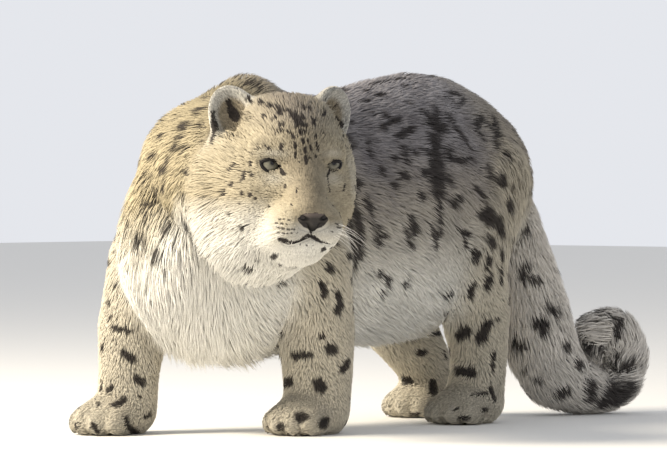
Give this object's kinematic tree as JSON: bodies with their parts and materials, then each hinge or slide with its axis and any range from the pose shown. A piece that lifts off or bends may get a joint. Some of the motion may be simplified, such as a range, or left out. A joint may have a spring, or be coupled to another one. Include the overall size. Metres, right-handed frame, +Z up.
{
  "type": "snow leopard",
  "caption": "Life-size still model of a snow leopard in winter coat, standing with its head turned to its left.",
  "frame": {"origin": "middle of the animal's box, on the floor under its soles", "axes": "+Z up, the animal faces -Y, and its left side is on +X"},
  "size_m": [0.6081, 1.2713, 0.6231],
  "materials": {
    "fur": "thick winter coat, grey-cream with dark spots",
    "pale_fur": "long pale coat of neck and breast",
    "eye": "clear and wet, pale grey-green iris",
    "nose": "dark, finely grained and moist"
  },
  "bodies": {
    "root": {"head": "fur", "left_ear": "fur", "right_ear": "fur", "left_eye": "eye", "right_eye": "eye", "nose_pad": "nose", "neck": "pale_fur", "chest": "pale_fur", "ribs": "fur", "hips": "fur", "left_foreleg": "fur", "right_foreleg": "fur", "left_forepaw": "fur", "right_forepaw": "fur", "left_hindleg": "fur", "right_hindleg": "fur", "left_hindpaw": "fur", "right_hindpaw": "fur", "tail_root": "fur", "tail_middle": "fur", "tail_bend": "fur", "tail_end": "fur", "tail_tip": "fur"}
  },
  "joints": []
}
